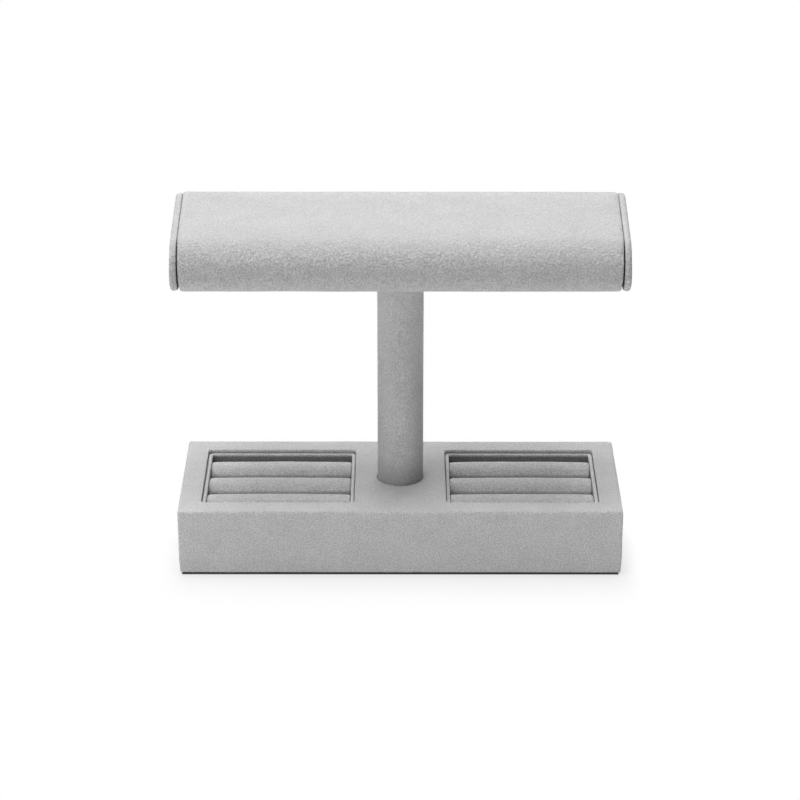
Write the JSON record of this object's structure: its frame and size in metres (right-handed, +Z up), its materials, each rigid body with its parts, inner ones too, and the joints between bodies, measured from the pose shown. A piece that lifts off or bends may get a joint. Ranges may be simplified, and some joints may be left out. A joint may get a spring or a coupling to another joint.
{
  "type": "bracelet display",
  "caption": "Free-standing jewellery display: a padded bar on a round post, over a fabric-wrapped base with lift-out trays of ring rolls.",
  "frame": {"origin": "middle of the face that the base stands on", "axes": "+Z up, +X along the bar to the viewer's right, -Y towards the viewer, the side the bar leans down to"},
  "size_m": [0.201, 0.076, 0.1633],
  "materials": {
    "base_fabric": "matte",
    "post_fabric": "matte",
    "bar_fabric": "matte",
    "tray_fabric": "matte",
    "roll_fabric": "matte",
    "fibreboard": "matte",
    "end_board": "matte",
    "softwood": "matte",
    "dark_sheet": "matte",
    "plated_steel": "satin",
    "grey_card": "matte",
    "foam": "matte"
  },
  "bodies": {
    "stand": {"bottom_sheet": "dark_sheet", "bottom_board": "fibreboard", "front_rail": "fibreboard", "back_rail": "fibreboard", "left_rail": "fibreboard", "right_rail": "fibreboard", "centre_block": "fibreboard", "base_wrap": "base_fabric", "post_core": "softwood", "post_sleeve": "post_fabric", "tie_rod": "plated_steel", "tie_washer": "plated_steel", "tie_nut": "plated_steel", "bar_insert": "plated_steel", "bar_core": "softwood", "bar_foam": "foam", "bar_wrap": "bar_fabric", "left_end_board": "end_board", "right_end_board": "end_board", "left_end_wrap": "bar_fabric", "right_end_wrap": "bar_fabric"},
    "left_tray": {"left_tray_box": "grey_card", "left_tray_cover": "tray_fabric", "left_pad_board": "grey_card", "left_roll_foam_1": "foam", "left_roll_foam_2": "foam", "left_roll_foam_3": "foam", "left_roll_1": "roll_fabric", "left_roll_2": "roll_fabric", "left_roll_3": "roll_fabric"},
    "right_tray": {"right_tray_box": "grey_card", "right_tray_cover": "tray_fabric", "right_pad_board": "grey_card", "right_roll_foam_1": "foam", "right_roll_foam_2": "foam", "right_roll_foam_3": "foam", "right_roll_1": "roll_fabric", "right_roll_2": "roll_fabric", "right_roll_3": "roll_fabric"}
  },
  "joints": [
    {"name": "left_tray_lift", "type": "slide", "parent": "stand", "child": "left_tray", "axis": [0, 0, 1], "range_m": [0, 0.035]},
    {"name": "right_tray_lift", "type": "slide", "parent": "stand", "child": "right_tray", "axis": [0, 0, 1], "range_m": [0, 0.035]}
  ]
}
